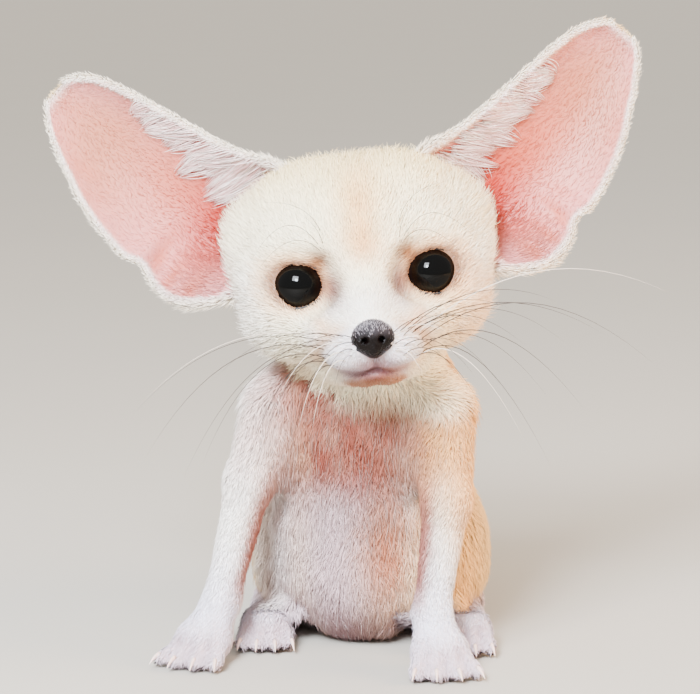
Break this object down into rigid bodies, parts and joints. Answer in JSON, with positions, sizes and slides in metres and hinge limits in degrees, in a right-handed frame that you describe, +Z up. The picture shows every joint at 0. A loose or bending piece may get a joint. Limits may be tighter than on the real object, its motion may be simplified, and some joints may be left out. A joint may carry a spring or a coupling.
{
  "type": "fennec fox kit",
  "caption": "Life-size still model of a fennec fox kit sitting upright, forelegs straight, very large cupped ears spread wide, tail lying behind.",
  "frame": {"origin": "bottom centre of the whole kit's box, on the floor it sits on", "axes": "+Z up, the kit looks along -Y, its left side is +X"},
  "size_m": [0.1306, 0.1698, 0.1401],
  "materials": {
    "coat_cream": "short fine cream fur, sandy along the back and the forehead",
    "coat_white": "very short white fur with pink skin showing through",
    "coat_dark": "dark brown fur of the tail tip",
    "ear_pink": "thin pink skin with sparse white down and a white fringe",
    "nose_black": "moist pebbled dark skin",
    "eye_black": "wet, clear and almost black"
  },
  "bodies": {
    "root": {"head": "coat_cream", "nose": "nose_black", "eye_left": "eye_black", "eye_right": "eye_black", "ear_left": "ear_pink", "ear_right": "ear_pink", "neck": "coat_cream", "torso": "coat_cream", "foreleg_left": "coat_white", "foreleg_right": "coat_white", "forepaw_left": "coat_white", "forepaw_right": "coat_white", "hind_leg_left": "coat_cream", "hind_leg_right": "coat_cream", "hind_foot_left": "coat_white", "hind_foot_right": "coat_white", "tail_base": "coat_cream", "tail_middle": "coat_cream", "tail_tip": "coat_dark"}
  },
  "joints": []
}
